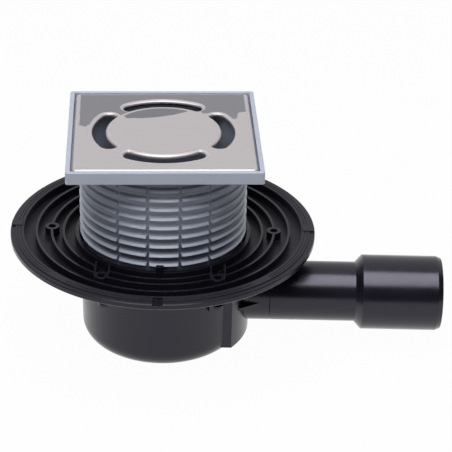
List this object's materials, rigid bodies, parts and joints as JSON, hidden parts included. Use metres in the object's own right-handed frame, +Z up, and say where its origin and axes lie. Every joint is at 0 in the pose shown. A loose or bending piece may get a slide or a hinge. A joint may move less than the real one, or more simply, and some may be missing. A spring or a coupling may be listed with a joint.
{
  "type": "floor drain",
  "caption": "Floor drain with a horizontal outlet, a ribbed sealing collar, a finned raising piece with a square frame, a slotted steel grate and a lift-out water trap.",
  "frame": {"origin": "centre of the pot's flat base", "axes": "+Z up along the drain's axis, +X along the outlet towards its mouth"},
  "size_m": [0.2869, 0.2008, 0.1484],
  "materials": {
    "body": "satin black polyethylene",
    "raising_piece": "satin blue-grey plastic",
    "grate": "finely brushed stainless steel",
    "trap": "satin grey plastic",
    "seal": "matt black rubber"
  },
  "bodies": {
    "body": {"body": "body", "trap_funnel": "trap", "trap_cup": "trap", "trap_seal": "seal"},
    "seal": {"riser_seal": "seal"},
    "riser": {"raising_piece": "raising_piece", "grate": "grate"}
  },
  "joints": [
    {"name": "height_slide", "type": "slide", "parent": "body", "child": "seal", "axis": [0, 0, 1], "range_m": [0, 0.01]},
    {"name": "frame_turn", "type": "hinge", "parent": "seal", "child": "riser", "pos_m": [0, 0, 0.1], "axis": [0, 0, 1], "continuous": true}
  ]
}
